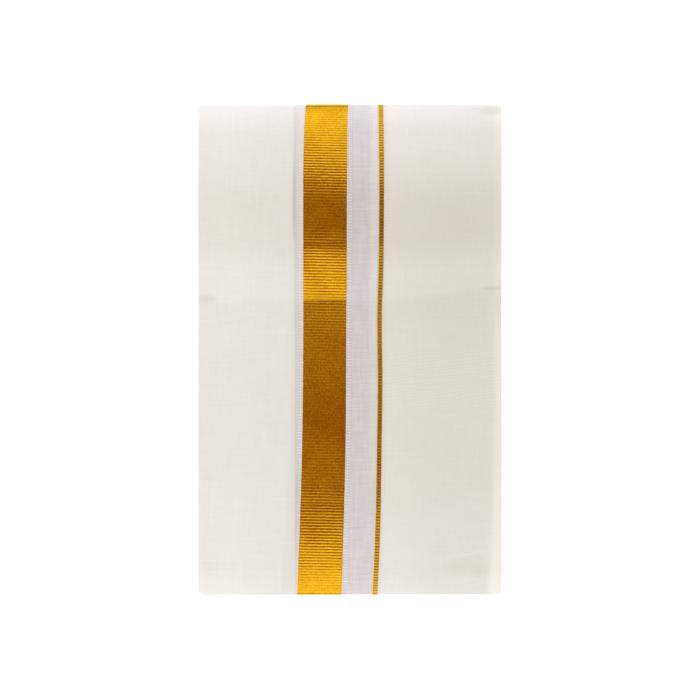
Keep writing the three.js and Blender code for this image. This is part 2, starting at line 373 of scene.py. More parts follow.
def cornerInset(y):
    radius = packet["cornerRadius"]
    past = np.clip(np.abs(y) - (packet["halfLength"] - radius), 0, radius)
    return radius - np.sqrt(radius ** 2 - past ** 2)


def outerPlace(way):
    far, near = way < 0, way > topRun
    radius = np.where(far, packet["farRadius"], np.where(near, packet["nearRadius"], 0.0))
    nearTurn = np.where(near, (way - topRun) / packet["nearRadius"], 0.0)
    turn = np.where(far, -way / packet["farRadius"], nearTurn)
    end = np.where(far, 1.0, -1.0)
    y = np.where(far, farY, np.where(near, nearY, farY - way)) + end * radius * np.sin(turn)
    z = packet["height"] - radius * (1 - np.cos(turn))
    return y, z, turn, end


def puffAt(x, end):
    far, near = (np.interp(x, endBulge["x"], endBulge[key]) for key in ("far", "near"))
    return np.where(end > 0, far, near)


def settle(x, y, z):
    drop = topDrop(x, y)
    soft = packet["softTop"]
    return np.where(z > soft, z - drop, z * (1 - drop / soft))


def foldUp(x, way, depth):
    y, z, turn, end = outerPlace(way)
    # the leaves that go under layer 3 are pressed as thin as it
    tucked = smooth(np.where(end > 0, turn, 0), 1.6, math.pi)
    press = 1 - (1 - packet["layerWall"] / packet["pairWall"]) * tucked
    depth = np.where(depth > 0, depth * press, depth)
    x = x - np.sign(x) * cornerInset(y) * smooth(np.abs(x), 0.102, 0.1125)
    outerY = y
    y = y - end * np.sin(turn) * (depth - puffAt(x, end))
    z = z - np.cos(turn) * depth
    upward = np.clip(np.cos(turn), 0, 1)
    relief = (creaseHeight(x, outerY) + unevenHeight(x, outerY)) * upward
    return np.stack([x, y, settle(x, y, z) + relief], axis=-1)


# mesh helpers

sharpAngle = math.radians(50)


def mapCloth(mesh, places):
    # the cloth's own coordinates: across it and along it, in metres
    while mesh.uv_layers:
        mesh.uv_layers.remove(mesh.uv_layers[0])
    layer = mesh.uv_layers.new(name="cloth")
    corners = np.zeros(len(mesh.loops), dtype=np.int32)
    mesh.loops.foreach_get("vertex_index", corners)
    layer.data.foreach_set("uv", np.asarray(places, dtype=np.float32)[corners].ravel())
    mesh.polygons.foreach_set("use_smooth", [True] * len(mesh.polygons))


def linkMesh(name, points, faces, places):
    mesh = bpy.data.meshes.new(name)
    mesh.from_pydata([tuple(p) for p in points], [], faces)
    mapCloth(mesh, places)
    return inScene(name, mesh)


def gridFaces(rows, columns, closed=False):
    faces = []
    for i in range(rows - 1):
        for j in range(columns if closed else columns - 1):
            a, b = i * columns + j, i * columns + (j + 1) % columns
            faces.append((a, a + columns, b + columns, b))
    return faces


def madePlain(piece):
    # takes the modifiers' result as the piece's own mesh
    evaluated = piece.evaluated_get(bpy.context.evaluated_depsgraph_get())
    mesh = bpy.data.meshes.new_from_object(evaluated)
    piece.modifiers.clear()
    old = piece.data
    piece.data = mesh
    bpy.data.meshes.remove(old)
    mesh.name = piece.name
    return piece


def thicken(piece, thickness):
    solid = piece.modifiers.new("thickness", "SOLIDIFY")
    solid.thickness = thickness
    solid.offset = -1
    solid.use_rim = True
    madePlain(piece)
    piece.data.set_sharp_from_angle(angle=sharpAngle)
    return piece


def stand(piece, material, slot, *nodes):
    piece.data.materials.clear()
    piece.data.materials.append(material)
    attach(piece, "root")
    if nodes:
        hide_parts(*nodes)


def wayStations():
    # closer together round the two end folds
    foldSteps, spacing = 14, 0.0016
    far = -packet["farRadius"] * np.linspace(math.pi, 0, foldSteps + 1)
    above = np.linspace(0, creaseWay, round(creaseWay / spacing) + 1)
    below = np.linspace(creaseWay, topRun, round((topRun - creaseWay) / spacing) + 1)
    near = topRun + packet["nearRadius"] * np.linspace(0, math.pi, foldSteps + 1)
    return np.concatenate([far, above[1:], below[1:], near[1:]])


# cloth: what its materials share

cotton = {
    "body": (0.740, 0.706, 0.645),
    "under": (0.820, 0.793, 0.740),
    "sheer": (0.636, 0.580, 0.572),
    "sheerPale": (0.700, 0.652, 0.626),
    "checked": (0.590, 0.545, 0.555),  # beside the zari, between the white floats
    "selvedge": (0.690, 0.635, 0.610),
    "float": (0.835, 0.785, 0.770),
    "shaded": (0.60, 0.52, 0.50),
    "olive": (0.50, 0.45, 0.33),
    "russet": (0.56, 0.43, 0.35),
    "pitch": 0.00042,
    "slub": 0.55,
    "bump": 0.5,
    "roughness": 0.86,
    "gloss": 0.25,
    "sheen": 0.12,
    "sheenRoughness": 0.5,
}
bumpDepth = 0.00008
band = {"sway": "band", "centre": -0.0190, "width": 0.0338, "ribHeight": 0.00020, "crown": 0.000040,
        "shoulder": 0.35, "pressed": 1.0}
line = {"sway": "line", "centre": 0.02345, "width": 0.0035, "ribHeight": 0.00030, "crown": 0.000110,
        "shoulder": 0.35, "pressed": 0.96}

# in the tables of tones each row says between which two places the tone changes, and its share at each
# painted sheen of the cotton along the cloth: paler at both ends, with a slight dip and a rise towards the
# crease
paintedSheenTones = (
    (-0.002, 0.020, 0.085, 0.0), (0.0, 0.070, 0.075, 0.0), (0.050, 0.072, 0.0, -0.022),
    (0.098, 0.125, 0.0, 0.022), (0.140, 0.170, 0.0, 0.014), (0.250, 0.360, 0.0, 0.045),
    (0.350, 0.374, 0.0, 0.045),
)
# the painted sheen rises towards the crease and ends at it
creaseRise = (0.100, 0.134, 0.0, 0.040)
creaseFall = (creaseWay - 0.004, creaseWay + 0.006, 1.0, 0.0)
# the painted sheen is whiter than the cotton
cooling = (1.0, 1.12, 1.45)  # the paler, the less yellow


def grain(place, x, y, detail=2.0, roughness=0.5):
    # noise drawn out along or across the cloth
    drawnOut = calc("MULTIPLY", place, (x, y, 1.0), kind="ShaderNodeVectorMath")
    return noise(drawnOut, detail, roughness)


def steps(value, table, total=1.0):
    for row in table:
        total = total + value.ramp(*row)
    return total


def toned(colour, tone):
    shade = add(tone.tree, "ShaderNodeCombineColor", {0: tone, 1: tone, 2: tone})
    return mix(1.0, colour, shade, "MULTIPLY")


def buildWeave():
    # plain weave: threads one way and the other, over and under, of uneven thickness
    group, given, out = newTree("plainWeave", "ShaderNodeTree",
                                {"Place": (0, 0, 0), "Thread Pitch": 0.00042, "Slub": 0.5},
                                {"Height": "NodeSocketFloat", "Tone": "NodeSocketFloat"})
    place = given["Place"]
    x, y, _ = parts(place)
    across = x / given["Thread Pitch"] + grain(place, 900, 14) * 0.9
    along = y / given["Thread Pitch"] + grain(place, 14, 900) * 0.9
    warp, weft = (calc("ABSOLUTE", calc("SINE", threads * math.pi)) for threads in (across, along))
    odd = calc("PINGPONG", calc("FLOOR", across) + calc("FLOOR", along), 1.0)
    weave = warp * odd + weft * (1.0 - odd)
    # thick and thin yarns show as faint streaks both ways
    streak = (grain(place, 430, 38, 3, 0.6) + grain(place, 38, 430, 3, 0.6) - 1.0) * given["Slub"]
    feedAll(group, out, {"Height": weave + streak * 1.4, "Tone": weave * 0.10 - 0.06 + streak * 0.15})
    return group


def buildPaintedSheen():
    # painted sheen: the cotton is painted paler where it turns down at the two ends and where it rises to the
    # crease, where those slopes catch the light
    group, given, out = newTree("paintedSheen", "ShaderNodeTree", {"Place": (0, 0, 0), "Strength": 1.0},
                                {"Tone": "NodeSocketColor"})
    u, way, _ = parts(given["Place"])
    x = u + band["centre"]
    climbed = way + x.ramp(topRise["tiltFrom"], topRise["tiltTo"], 0, topRise["creaseTilt"])
    share = steps(way, paintedSheenTones, climbed.ramp(*creaseRise) * climbed.ramp(*creaseFall)) * given["Strength"]
    cooled = {i: share * part + 1.0 for i, part in enumerate(cooling)}
    feed(group, out["Tone"], add(group, "ShaderNodeCombineColor", cooled))
    return group


def buildSpot():
    # a soft oval spot with a ragged rim
    group, given, out = newTree("spot", "ShaderNodeTree", {
        "Place": (0, 0, 0), "Middle": (0, 0, 0), "Reach": (0.005, 0.005, 1), "Slope": 0.0, "Raggedness": 0.9,
    }, {"Mask": "NodeSocketFloat"})
    vectorMath = "ShaderNodeVectorMath"
    x, y, _ = parts(calc("SUBTRACT", given["Place"], given["Middle"], kind=vectorMath))
    leaning = combined(group, x, y - x * given["Slope"])
    share = calc("DIVIDE", leaning, given["Reach"], kind=vectorMath)
    far = calc("LENGTH", share, kind=vectorMath).out("Value")
    ragged = (grain(given["Place"], 260, 420, 3, 0.6) - 0.5) * given["Raggedness"]
    feed(group, out["Mask"], (ragged + far).ramp(0.2, 1.15, 1, 0))
    return group


weaveGroup, paintedSheenGroup, spotGroup = buildWeave(), buildPaintedSheen(), buildSpot()


def newMaterial(name):
    material = bpy.data.materials.new(name)
    material.use_nodes = True
    tree = material.node_tree
    return material, tree, tree.nodes["Principled BSDF"].inputs, add(tree, "ShaderNodeUVMap", uv_map="cloth")


def bumped(height, strength):
    values = {"Strength": strength, "Distance": bumpDepth, "Height": height}
    return add(height.tree, "ShaderNodeBump", values)


def effect(group, place, values):
    return add(place.tree, "ShaderNodeGroup", {"Place": place, **values}, node_tree=group)


def spotted(colour, place, x, way, across, along, depth, shade, slope=0.0, raggedness=0.9):
    mask = effect(spotGroup, place, {
        "Middle": (x - band["centre"], way, 0), "Reach": (across, along, 1), "Slope": slope,
        "Raggedness": raggedness,
    })
    return mix(mask * depth, colour, cotton[shade])


def clothMaterial(name, colourOf, paintedSheen, spots=()):
    material, tree, shader, place = newMaterial(name)
    woven = effect(weaveGroup, place, {"Thread Pitch": cotton["pitch"], "Slub": cotton["slub"]})
    colour, relief = colourOf(place)
    for spot in spots:
        colour = spotted(colour, place, *spot)
    # painted sheen along the cloth: paler at the ends and towards the crease
    colour = mix(1.0, colour, effect(paintedSheenGroup, place, {"Strength": paintedSheen}), "MULTIPLY")
    colour = toned(colour, woven.out("Tone") + 1.0)
    feedAll(tree, shader, {
        "Base Color": colour, "Normal": bumped(woven + relief, cotton["bump"]),
        "Roughness": cotton["roughness"], "Specular IOR Level": cotton["gloss"],
        "Sheen Weight": cotton["sheen"], "Sheen Roughness": cotton["sheenRoughness"],
    })
    return material


# the top leaf's cotton: its colours across the cloth, its spots and its single yarns

bandRight = band["width"] / 2  # u is measured from the band's middle, so the woven stripes follow its sway
lineLeft = line["centre"] - line["width"] / 2 - band["centre"]
topLook = {
    "besideBand": (-0.0230, -0.0195),
    "selvedgeTones": ((0.100, 0.120, 0.0, -0.03), (0.142, 0.158, 0.0, -0.05), (0.268, 0.290, 0.0, -0.07),
                      (0.325, 0.350, 0.0, 0.12)),
    "paleFades": ((0.150, 0.190, 0.0, 0.40), (0.265, 0.310, 0.0, 0.55)),  # towards the near end
    # across the right side: a little paler beside the thin line, and a painted highlight along the right rim,
    # more of it in the lower half
    "acrossTones": ((0.028, 0.078, 0.045, 0.0), (0.105, 0.1145, 0.0, 0.075)),
    "sideLight": ((0.109, 0.1135), (0.150, 0.180, 0.0, 0.055)),
    "yarns": 0.22,
    "ripplePitch": 0.0026,
    "rippleSlant": 0.12,
    "rippleTone": 0.018,
    "rippleHeight": 0.2,
}
# the columns of the spots: x, way, across, along, depth and colour, and for some slope and raggedness
topSpots = (
    # painted shade in the dent at the crease on the right side
    (0.1085, 0.1370, 0.0125, 0.0024, 0.36, "olive"),
    # painted shade below the soft crease low on the right
    (0.0920, 0.3500, 0.0230, 0.0090, 0.13, "olive", -0.12, 0.5),
    (0.1030, 0.3540, 0.0075, 0.0048, 0.14, "olive"),
    # painted highlight on the ridge of that crease
    (0.0910, 0.3415, 0.0240, 0.0013, 0.34, "float", -0.22, 0.4),
    # painted shade in the dent at the far right corner
    (0.1090, 0.0010, 0.0170, 0.0044, 0.27, "olive"),
    (0.0690, 0.0360, 0.0640, 0.0400, 0.30, "under", 0.0, 0.2),
    (0.0720, 0.1300, 0.0800, 0.0950, 0.07, "olive", 0.0, 0.2),
    # thicker yarns and a knot
    (0.0100, 0.0460, 0.0130, 0.0005, 0.55, "float"),
    (0.0100, 0.0767, 0.0130, 0.0005, 0.55, "float"),
    (-0.0004, 0.3070, 0.0012, 0.0010, 0.80, "float"),
)


def skewRipple(place):
    # faint slanting ripples of the weft below the crease, right of the band
    u, way, _ = parts(place)
    slanted = u * topLook["rippleSlant"] + way
    phase = grain(place, 30, 60) * 9.0 + slanted * (math.tau / topLook["ripplePitch"])
    mask = way.ramp(0.180, 0.190) * way.ramp(0.222, 0.238, 1, 0) * u.ramp(0.014, 0.018)
    return calc("SINE", phase) * mask


def topLeafColour(place):
    u, way, _ = parts(place)
    x = u + band["centre"]
    selvedgeTone = steps(way, topLook["selvedgeTones"], 0.0) * u.ramp(*topLook["besideBand"]) + 1.0
    colour = toned(cotton["selvedge"], selvedgeTone)
    pale = mix(steps(way, topLook["paleFades"], 0.0), cotton["sheerPale"], cotton["sheer"])
    for edge, softness, after in (
            (bandRight - 0.0030, 0.0004, cotton["checked"]), (bandRight + 0.0042, 0.0004, cotton["sheer"]),
            (lineLeft - 0.0064, 0.0022, pale), (lineLeft - 0.0012, 0.0004, cotton["checked"]),
            (lineLeft + 0.0040, 0.0004, cotton["sheerPale"]), (lineLeft + 0.0062, 0.0004, cotton["body"])):
        colour = mix(u.ramp(edge - softness, edge + softness), colour, after)
    acrossSide, alongSide = topLook["sideLight"]
    # painted highlight along the right rim, here and in the tones across
    colour = toned(colour, x.ramp(*acrossSide) * way.ramp(*alongSide) + 1.0)
    colour = toned(colour, steps(x, topLook["acrossTones"]))
    # single yarns stand out in the sheer stripe
    yarns = grain(place, 560, 45) + grain(place, 60, 560) - 1.0
    rightOfBand = u.ramp(bandRight + 0.0030, bandRight + 0.0050)
    leftOfLine = u.ramp(lineLeft - 0.0050, lineLeft - 0.0010, 1, 0)
    colour = toned(colour, yarns * rightOfBand * leftOfLine * topLook["yarns"] + 1.0)
    ripple = skewRipple(place)
    return toned(colour, ripple * topLook["rippleTone"] + 1.0), ripple * topLook["rippleHeight"]


# the other cottons

underLook = {
    "reach": 0.0036,  # of the shade beside the top leaf's selvedge, and how deep it is along the cloth
    "depth": 0.75, "farDepth": 0.35, "nearDepth": 0.16,
    "sway": ((0.160, 0.260, 0.0, 0.0006), (0.220, 0.372, 0.0, 0.0038)),
    "acrossTones": ((-0.100, -0.048, 0.028, -0.012),),
}
underSpots = (
    # painted shade in the dent at the crease on the left side
    (-0.1110, 0.1455, 0.0110, 0.0040, 0.24, "russet"),
    (-0.1050, 0.3500, 0.0120, 0.0060, 0.09, "olive"),
    (-0.0465, 0.3321, 0.0070, 0.0005, 0.60, "float"),
)


def plainColour(colour):
    patchColour = tuple(c * 0.985 for c in colour)
    return lambda place: (mix(grain(place, 18, 12).ramp(0.3, 0.7), colour, patchColour), 0.0)


def underLeafColour(place):
    # dims in the shade of the top leaf's selvedge, most where the top rises
    u, way, _ = parts(place)
    look = underLook
    # the sway is part of u, so the straight selvedge is found from the way as well
    x = steps(way, look["sway"], u + band["centre"])
    near = x.ramp(packet["selvedge"] - look["reach"], packet["selvedge"] - 0.0006)
    deep = way.ramp(0.030, 0.058, look["farDepth"], look["depth"])
    deep = deep + way.ramp(0.084, 0.112, 0, look["nearDepth"] - look["depth"])
    colour, relief = plainColour(cotton["under"])(place)
    colour = toned(colour, steps(u + band["centre"], look["acrossTones"]))
    return mix(near * deep, colour, cotton["shaded"]), relief


topCotton = clothMaterial("topCotton", topLeafColour, 1.5, topSpots)
underCotton = clothMaterial("underCotton", underLeafColour, 1.0, underSpots)
foldedCotton = clothMaterial("foldedCotton", plainColour(cotton["body"]), 0.0)
floatCotton = clothMaterial("floatCotton", plainColour(cotton["float"]), 1.0)


# gold thread

zariLook = {
    "bright": (0.925, 0.620, 0.024),
    "deep": (0.80, 0.440, 0.012),
    "roughness": 0.146,
    "wornAbove": 0.020,  # how much rougher the worn band is just above the crease, and below it
    "wornBelow": 0.060,
    "threadRoughness": 0.03,
    "rimShade": 0.24,
    "crestShade": 0.20,
    "bump": 0.22,
}
linePaintedReflection = (  # painted reflection: the thin line's gold painted darker and lighter along the cloth
    (0.010, 0.045, 0.0, -0.17), (0.062, 0.080, 0.0, 0.07), (0.092, 0.108, 0.0, -0.22),
    (0.142, 0.150, 0.0, 0.32), (0.280, 0.300, 0.0, -0.17), (0.345, 0.365, 0.0, 0.07),
)


def goldMaterial(name, look, paintedReflection=()):
    material, tree, shader, place = newMaterial(name)
    _, way, _ = parts(place)
    threads = grain(place, 900, 420)
    mingled = grain(place, 90, 60) * 0.35 + threads * 0.65
    colour = mix(mingled.ramp(0.32, 0.62), look["deep"], look["bright"])
    colour = toned(colour, way.ramp(-0.002, 0.004, 1 - look["rimShade"], 1))
    crest = way.ramp(creaseWay - 0.006, creaseWay - 0.002, 0, look["crestShade"])
    colour = toned(colour, 1.0 - crest * way.ramp(creaseWay - 0.0005, creaseWay + 0.0005, 1, 0))
    # painted reflection: the gold made darker or lighter along the cloth
    if paintedReflection:
        colour = toned(colour, steps(way, paintedReflection))
    crease = (creaseWay - 0.003, creaseWay + 0.003)
    above = way.ramp(0.078, 0.118, 0, look["wornAbove"]) * way.ramp(*crease, 1, 0)
    below = way.ramp(*crease, 0, look["wornBelow"]) * way.ramp(0.190, 0.280, 1, 0)
    uneven = threads.ramp(0.2, 0.8, -look["threadRoughness"], look["threadRoughness"], "LINEAR")
    feedAll(tree, shader, {
        "Base Color": colour, "Roughness": above + below + look["roughness"] + uneven,
        "Normal": bumped(threads, look["bump"]), "Metallic": 1.0,
    })
    return material


gold = goldMaterial("zariGold", zariLook)
lineGold = goldMaterial("zariLineGold", zariLook, linePaintedReflection)
print("materials made")


# the two leaves that show

topLeaf = {
    "startX": packet["selvedge"], "endX": packet["halfWidth"], "depth": 0.0, "bendRadius": 0.00062,
    "bendSteps": 8, "tail": 0.006, "spacing": 0.0017, "thickness": 0.0003, "selvedgeLift": 0.00016,
}
underLeaf = {
    "startX": -0.030, "endX": -packet["halfWidth"], "depth": 0.0004, "bendRadius": 0.00047,
    "bendSteps": 8, "tail": 0.010, "spacing": 0.0017, "thickness": 0.0003, "trough": 0.00022,
}


def bentSection(leaf):
    # across the strip: flat, round the long side and back below; x, depth and the way along the cloth
    startX, endX, depth, radius = (leaf[key] for key in ("startX", "endX", "depth", "bendRadius"))
    side = 1 if endX > startX else -1
    bendX = endX - side * radius
    flat = np.linspace(startX, bendX, round(abs(bendX - startX) / leaf["spacing"]) + 1)
    turn = np.linspace(0, math.pi, leaf["bendSteps"] + 1)[1:]
    back = np.linspace(bendX, bendX - side * leaf["tail"], 4)[1:]
    x = np.concatenate([flat, bendX + side * radius * np.sin(turn), back])
    depths = np.concatenate([np.full(len(flat), depth), depth + radius * (1 - np.cos(turn)),
                             np.full(3, depth + 2 * radius)])
    pastBend = side * radius * math.pi + bendX - back
    way = np.concatenate([flat, bendX + side * radius * turn, bendX + pastBend])
    return x, depths, way


def leafPiece(name, section, thickness, depthShift):
    x, depth, acrossWay = section
    ways = wayStations()
    gridWay, gridX = np.meshgrid(ways, x, indexing="ij")
    depthGrid = np.broadcast_to(depth, gridX.shape)
    outerY = outerPlace(gridWay)[0]
    depthGrid = depthGrid + depthShift(gridX, outerY, depthGrid)
    points = foldUp(gridX, gridWay, depthGrid)
    sway = swayOf("band", outerY)
    share = np.clip((gridX - band["centre"]) / (line["centre"] - band["centre"]), 0, 1)
    sway = sway + (swayOf("line", outerY) - sway) * share
    u = np.broadcast_to(acrossWay, gridX.shape) - band["centre"] - sway
    places = np.stack([u, gridWay], axis=-1)
    faces = gridFaces(len(ways), len(x))
    if x[-1] < x[0]:
        faces = [face[::-1] for face in faces]
    piece = linkMesh(name, points.reshape(-1, 3), faces, places.reshape(-1, 2))
    return thicken(piece, thickness)


def topShift(x, y, depth):
    edge = np.exp(-((x - packet["selvedge"]) / 0.0016) ** 2) * (depth < 0.0001)
    uneven = 0.6 + 0.4 * np.sin(y * 47 + 1.0) * np.sin(y * 19)
    return -topLeaf["selvedgeLift"] * edge * uneven


def underShift(x, y, depth):
    edge = np.exp(-((x - packet["selvedge"] + 0.0012) / 0.0022) ** 2) * (depth < 0.0009)
    deep = 0.35 + 0.65 * smooth(y, 0.02, 0.10) * (1 - 0.4 * smooth(y, 0.15, 0.185))
    return underLeaf["trough"] * edge * deep


topSection = bentSection(topLeaf)
topPiece = leafPiece("topLeaf", topSection, topLeaf["thickness"], topShift)
stand(topPiece, topCotton, "handloom_cotton", "top_leaf")

underSection = bentSection(underLeaf)
underPiece = leafPiece("underLeaf", underSection, underLeaf["thickness"], underShift)
stand(underPiece, underCotton, "under_cotton", "under_leaf")
print("leaves made:", len(topPiece.data.polygons), len(underPiece.data.polygons))


# the hidden layers, seen at the edges

foldedStack = {
    "spacing": 0.005,
    "columns": 22,
    "noseSteps": 5,
    "foldSteps": 10,
    "wobble": 0.00022,
    "sag": 0.00012,
    "halfGap": 0.00005,
    "tuckedInset": 0.0007,
    "underTopInset": 0.0005,
    "underTopFrom": 0.00130,
}
sideInsets = (0.0005, 0.0011, 0.0006, 0.0009)  # of layers 6, 5, 4 and 3 on the long sides, from the lowest up
foldInset = {"threeToFour": 0.0010, "fourToFive": 0.0012, "fiveToSix": 0.0005, "freeEnd": 0.0025}
layerPitch = packet["layerWall"] + packet["seamGap"]
foldRadius = (packet["layerWall"] + layerPitch) / 2
tuckedFloor = len(sideInsets) * layerPitch


def runStations(startY, endY):
    count = max(2, round(abs(endY - startY) / foldedStack["spacing"]) + 1)
    return np.linspace(startY, endY, count)


def beltPath():
    rows = []
    middle = lambda index: index * layerPitch + packet["layerWall"] / 2

    def run(index, startY, endY):
        up = -1.0 if startY > endY else 1.0
        for y in runStations(startY, endY):
            rows.append((y, middle(index), 0.0, up, sideInsets[index]))

    def fold(upper, centreY, end):
        for i in range(1, foldedStack["foldSteps"]):
            share = i / foldedStack["foldSteps"]
            turn = math.pi * share
            inset = (1 - share) * sideInsets[upper] + share * sideInsets[upper - 1]
            rows.append((centreY + end * layerPitch / 2 * math.sin(turn),
                         middle(upper) - layerPitch / 2 * (1 - math.cos(turn)),
                         math.sin(turn), end * math.cos(turn), inset))

    startY = farY - packet["seamGap"]
    for index, end, key in ((3, -1, "threeToFour"), (2, 1, "fourToFive"), (1, -1, "fiveToSix")):
        centreY = end * (packet["halfLength"] - foldInset[key] - foldRadius)
        run(index, startY, centreY)
        fold(index, centreY, end)
        startY = centreY
    run(0, startY, packet["halfLength"] - foldInset["freeEnd"])
    return np.array(rows)


def tuckedPath():
    z = tuckedFloor + packet["pairWall"] / 2
    ys = runStations(farY + 0.0004, nearY + packet["seamGap"])
    return np.array([(y, z, 0.0, -1.0, foldedStack["tuckedInset"]) for y in ys])


def underTopPath():
    # follows the outer face round both ends, as the top leaf does
    ways = np.concatenate([
        -packet["farRadius"] * np.linspace(math.pi, 0, 13),
        np.linspace(0, topRun, 80)[1:],
        topRun + packet["nearRadius"] * np.linspace(0, math.pi, 13)[1:],
    ])
    y, z, turn, end = outerPlace(ways)
    insets = np.full(len(y), foldedStack["underTopInset"])
    return np.stack([y, z, -end * np.sin(turn), -np.cos(turn), insets], axis=-1)


def belt(path, depthFrom, depthTo, inset, seed, puffed=False):
    # a closed strip with rounded long sides along the path, between two depths below it
    random = np.random.default_rng(seed)
    radius = (depthTo - depthFrom) / 2
    middle = (depthFrom + depthTo) / 2
    turn = np.linspace(0, math.pi, foldedStack["noseSteps"] + 1)
    flat = np.linspace(-1, 1, foldedStack["columns"])
    lengths = np.concatenate([[0], np.cumsum(np.linalg.norm(np.diff(path[:, :2], axis=0), axis=1))])
    sides = []
    for side in (0, 1):
        wobble = np.zeros(len(path))
        for _ in range(5):
            wobble += np.sin(lengths * math.tau / random.uniform(0.02, 0.16) + random.uniform(0, math.tau))
        sides.append(packet["halfWidth"] - path[:, 4] - inset - foldedStack["wobble"] * (1.5 + wobble / 2))
    points, places = [], []
    for i, (y, z, acrossY, acrossZ, _) in enumerate(path):
        draw = float(cornerInset(np.array(y)))
        left, right = -(sides[0][i] - draw) + radius, sides[1][i] - draw - radius
        upper = [(left + (right - left) * (t + 1) / 2, -radius) for t in flat]
        rightNose = [(right + radius * math.sin(t), -radius * math.cos(t)) for t in turn[1:-1]]
        lower = [(left + (right - left) * (1 - t) / 2, radius) for t in flat]
        leftNose = [(left - radius * math.sin(t), radius * math.cos(t)) for t in turn[1:-1]]
        for x, off in upper + rightNose + lower + leftNose:
            sag = foldedStack["sag"] * math.sin(x * 61 + seed) * abs(acrossY)
            depth = middle + off + sag
            puff = -acrossY * float(puffAt(x, -acrossY)) if puffed else 0.0
            points.append((x, y + acrossY * depth + puff, z + acrossZ * depth))
            places.append((x, lengths[i]))
    points = np.array(points)
    points[:, 2] = settle(points[:, 0], points[:, 1], points[:, 2])
    ring = len(points) // len(path)
    faces = gridFaces(len(path), ring, True)
    faces.append(tuple(range(ring)))
    faces.append(tuple(reversed(range(len(points) - ring, len(points)))))
    return points, faces, places


def foldedPiece():
    thin, pair, halfGap = packet["layerWall"] / 2, packet["pairWall"], foldedStack["halfGap"]
    serpentine, tucked, underTop = beltPath(), tuckedPath(), underTopPath()
    belts = [
        belt(serpentine, -thin, -halfGap, 0.0001, 21),
        belt(serpentine, halfGap, thin, 0.0004, 22),
        belt(tucked, -pair / 2, -halfGap, 0.0002, 23),
        belt(tucked, halfGap, pair / 2, 0.0, 24),
        belt(underTop, foldedStack["underTopFrom"], pair - 0.0001, 0.0, 25, True),
    ]
    points, faces, places = [], [], []
    for somePoints, someFaces, somePlaces in belts:
        start = len(points)
        points.extend(map(tuple, somePoints))
        faces.extend(tuple(i + start for i in face) for face in someFaces)
        places.extend(somePlaces)
    return linkMesh("foldedLayers", points, faces, places)


layersPiece = foldedPiece()
stand(layersPiece, foldedCotton, "folded_cotton", "folded_layers")
print("folded layers made:", len(layersPiece.data.polygons))


# zari: ribs laid out flat by Geometry Nodes, then folded up with the cloth

zari = {
    "body": 0.00015,  # the thickness of the strip that carries the ribs
    "groove": 0.00010,  # between one rib and the next
    "ribPitch": 0.00226,
    "clearance": 0.00004,
    "skew": -0.021,
    "wave": 0.00035,
    "bead": 0.18,
    "lean": 0.067,  # how steeply the ribs tip over towards the crease
    "leanFrom": 0.088,
    "leanFull": 0.114,
    "farEnd": math.radians(135),
    "nearEnd": math.radians(130),
    "lowerFrom": math.radians(25),  # what shows of the lower fold
    "lowerTo": math.radians(155),
}
ribSpacing = {  # the ribs are beaten closer together near the ends of the packet
    "way": (-0.008, 0.003, 0.011, 0.020, 0.030, 0.041, 0.052, 0.062, 0.075,
            0.092, 0.105, 0.130, 0.330, 0.346, 0.357, 0.368, 0.380),
    "share": (0.68, 0.70, 0.77, 0.84, 0.88, 0.93, 0.96, 1.0, 1.04,
              1.03, 0.98, 0.985, 1.0, 0.97, 0.94, 0.84, 0.78),
}
ribsPressed = {  # where the ribs lie flattened, and how far
    "way": (0.000, 0.012, 0.030, 0.040, 0.054, 0.066, 0.074, 0.092, 0.098,
            0.107, 0.143, 0.148, 0.175, 0.220, 0.290, 0.309, 0.352, 0.370),
    "share": (0.55, 0.35, 0.10, 0.0, 0.15, 0.92, 0.970, 0.970, 0.85,
              0.0, 0.0, 0.78, 0.94, 0.965, 0.955, 0.0, 0.0, 0.55),
}
bandNarrows = {
    "y": (-0.169, -0.134, -0.100, -0.039, 0.019, 0.046, 0.092, 0.130, 0.153, 0.168, 0.182),
    "share": (1.0, 0.987, 0.985, 0.976, 0.972, 0.976, 0.984, 0.988, 0.984, 0.972, 0.957),
}

# the way along the cloth against the count of ribs passed
spacedWay = np.linspace(-packet["farRadius"] * math.pi, topRun + packet["nearRadius"] * math.pi, 4000)
pitchThere = zari["ribPitch"] * np.interp(spacedWay[1:], ribSpacing["way"], ribSpacing["share"])
ribsPassed = np.concatenate([[0], np.cumsum(np.diff(spacedWay) / pitchThere)])


def wayOfRib(number):
    return np.interp(number, ribsPassed, spacedWay)


def ribAt(way):
    return float(np.interp(way, spacedWay, ribsPassed))


def grow(tree, kind, values=(), **settings):
    return add(tree, "GeometryNode" + kind, values, **settings)


def geometryTree(name, inputs):
    tree, given, out = newTree(name, "GeometryNodeTree", {**inputs, "Material": None},
                               {"Geometry": "NodeSocketGeometry"})
    tree.is_modifier = True

    def finish(geometry):
        whole = grow(tree, "RealizeInstances", {"Geometry": geometry})
        coated = grow(tree, "SetMaterial", {"Geometry": whole, "Material": given["Material"]})
        feed(tree, out["Geometry"], coated)
        return tree

    return tree, given, finish


